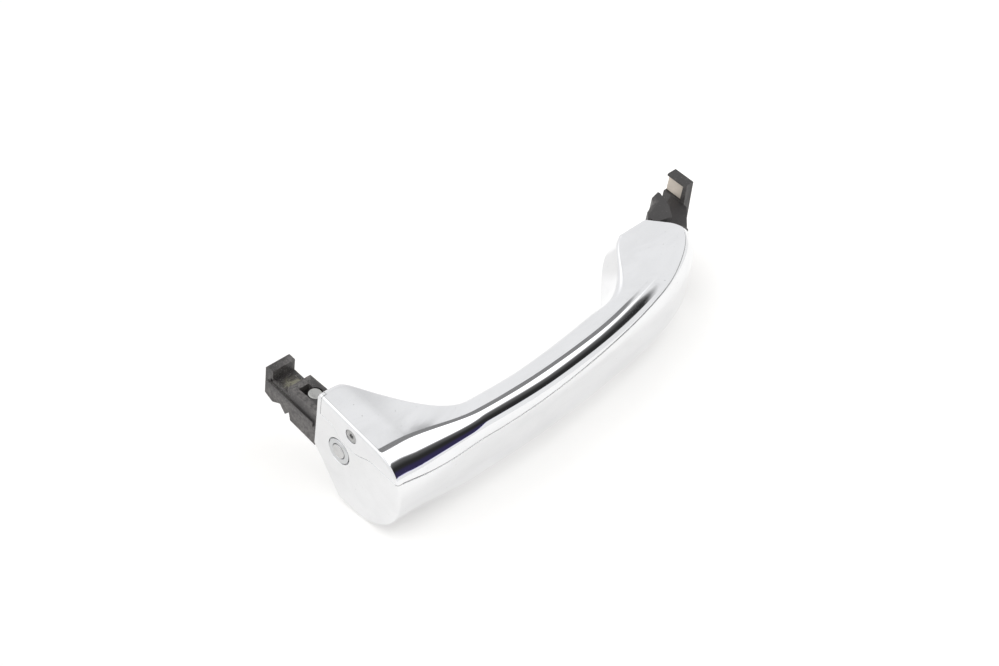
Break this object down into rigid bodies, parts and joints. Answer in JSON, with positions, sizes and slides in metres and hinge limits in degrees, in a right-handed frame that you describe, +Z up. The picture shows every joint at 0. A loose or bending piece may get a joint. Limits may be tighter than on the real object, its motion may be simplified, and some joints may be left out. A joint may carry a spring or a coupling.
{
  "type": "car door handle",
  "caption": "Exterior pull handle of a car's rear door: chrome C-shaped grip on a pivot arm and a hook arm, with a round lock request button in its end face.",
  "frame": {"origin": "centre of the bearing pad of the front hook, where the handle pivots in the door's bracket", "axes": "+X along the grip from the rear end face to the front pivot, +Y towards the door, +Z up as mounted on the door"},
  "size_m": [0.2035, 0.0747, 0.0419],
  "materials": {
    "chrome_outer": "polished plating with a fine satin haze",
    "chrome_inner": "bright polished plating",
    "carrier_plastic": "glass-filled, matt",
    "arm_plastic": "glass-filled, worn matt",
    "pin_steel": "zinc-plated, dull",
    "screw_steel": "zinc-plated",
    "pad_plastic": "natural acetal with dried grease",
    "seal_rubber": "matt",
    "cover_screw_steel": "satin",
    "insert_brass": "turned",
    "bezel_metal": "satin plating",
    "button_metal": "satin plating",
    "spring_steel": "drawn wire",
    "switch_plastic": "moulded",
    "plunger_plastic": "moulded",
    "board_laminate": "solder mask",
    "chip_plastic": "moulded",
    "ferrite": "sintered",
    "coil_copper": "enamelled copper wire",
    "electrode_copper": "rolled copper foil",
    "wire_cover": "soft insulation"
  },
  "bodies": {
    "handle": {"outer_shell": "chrome_outer", "inner_shell": "chrome_inner", "core_frame": "carrier_plastic", "rear_arm": "arm_plastic", "rear_arm_pin": "pin_steel", "rear_arm_screw": "screw_steel", "front_arm": "arm_plastic", "front_arm_screws": "screw_steel", "hook_pad": "pad_plastic", "inlet_grommet": "seal_rubber", "cover_screw": "cover_screw_steel", "screw_insert": "insert_brass", "button_bezel": "bezel_metal", "button_spring": "spring_steel", "switch_body": "switch_plastic", "electronics_tray": "carrier_plastic", "sensor_board": "board_laminate", "board_chips": "chip_plastic", "antenna_bobbin": "switch_plastic", "antenna_core": "ferrite", "antenna_coil": "coil_copper", "sensor_electrode": "electrode_copper", "inner_wires": "wire_cover"},
    "lock_button": {"lock_button": "button_metal", "button_seal": "seal_rubber", "retaining_ring": "spring_steel"},
    "switch_plunger": {"switch_plunger": "plunger_plastic"}
  },
  "joints": [
    {"name": "button_push", "type": "slide", "parent": "handle", "child": "lock_button", "axis": [1, 0, 0], "range_m": [0, 0.0008], "stiffness_N_per_m": 400, "springref_m": -0.001, "deforming": ["button_spring"]},
    {"name": "plunger_push", "type": "slide", "parent": "handle", "child": "switch_plunger", "axis": [1, 0, 0], "range_m": [0, 0.0008]}
  ],
  "couplings": [
    {"joint": "plunger_push", "follows": "button_push", "ratio": 1}
  ]
}
